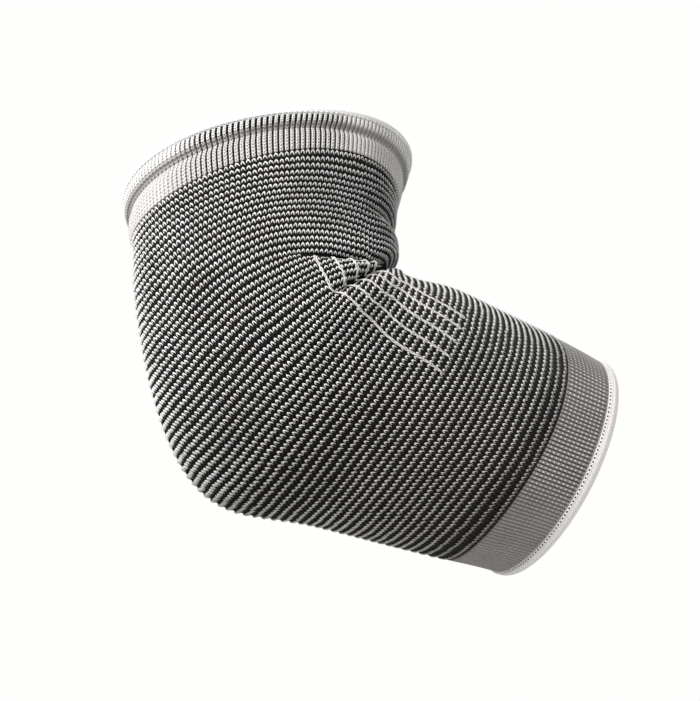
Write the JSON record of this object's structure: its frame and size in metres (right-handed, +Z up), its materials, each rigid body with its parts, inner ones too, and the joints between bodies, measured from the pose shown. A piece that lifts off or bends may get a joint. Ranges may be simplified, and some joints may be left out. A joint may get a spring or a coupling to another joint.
{
  "type": "elbow brace",
  "caption": "Knitted tube brace for a bent elbow, with ribbed cuffs, rolled edges and folds at the inner elbow.",
  "frame": {"origin": "centre of the elbow, where the axes of the upper arm leg and the forearm leg cross", "axes": "+Z up along the upper arm leg; the forearm leg leaves toward +X and down; Y runs from one flank to the other, across the bend plane"},
  "size_m": [0.1764, 0.104, 0.1576],
  "materials": {
    "body_knit": "dark knit with white stitches",
    "upper_rib": "pale ribbed knit with dark gaps",
    "forearm_rib": "grey ribbed knit",
    "upper_edge": "white rolled edge",
    "forearm_edge": "warm white rolled edge with a row of stitch holes"
  },
  "bodies": {
    "root": {"knit_sleeve": "body_knit", "upper_cuff": "upper_rib", "forearm_cuff": "forearm_rib", "upper_binding": "upper_edge", "forearm_binding": "forearm_edge"}
  },
  "joints": []
}
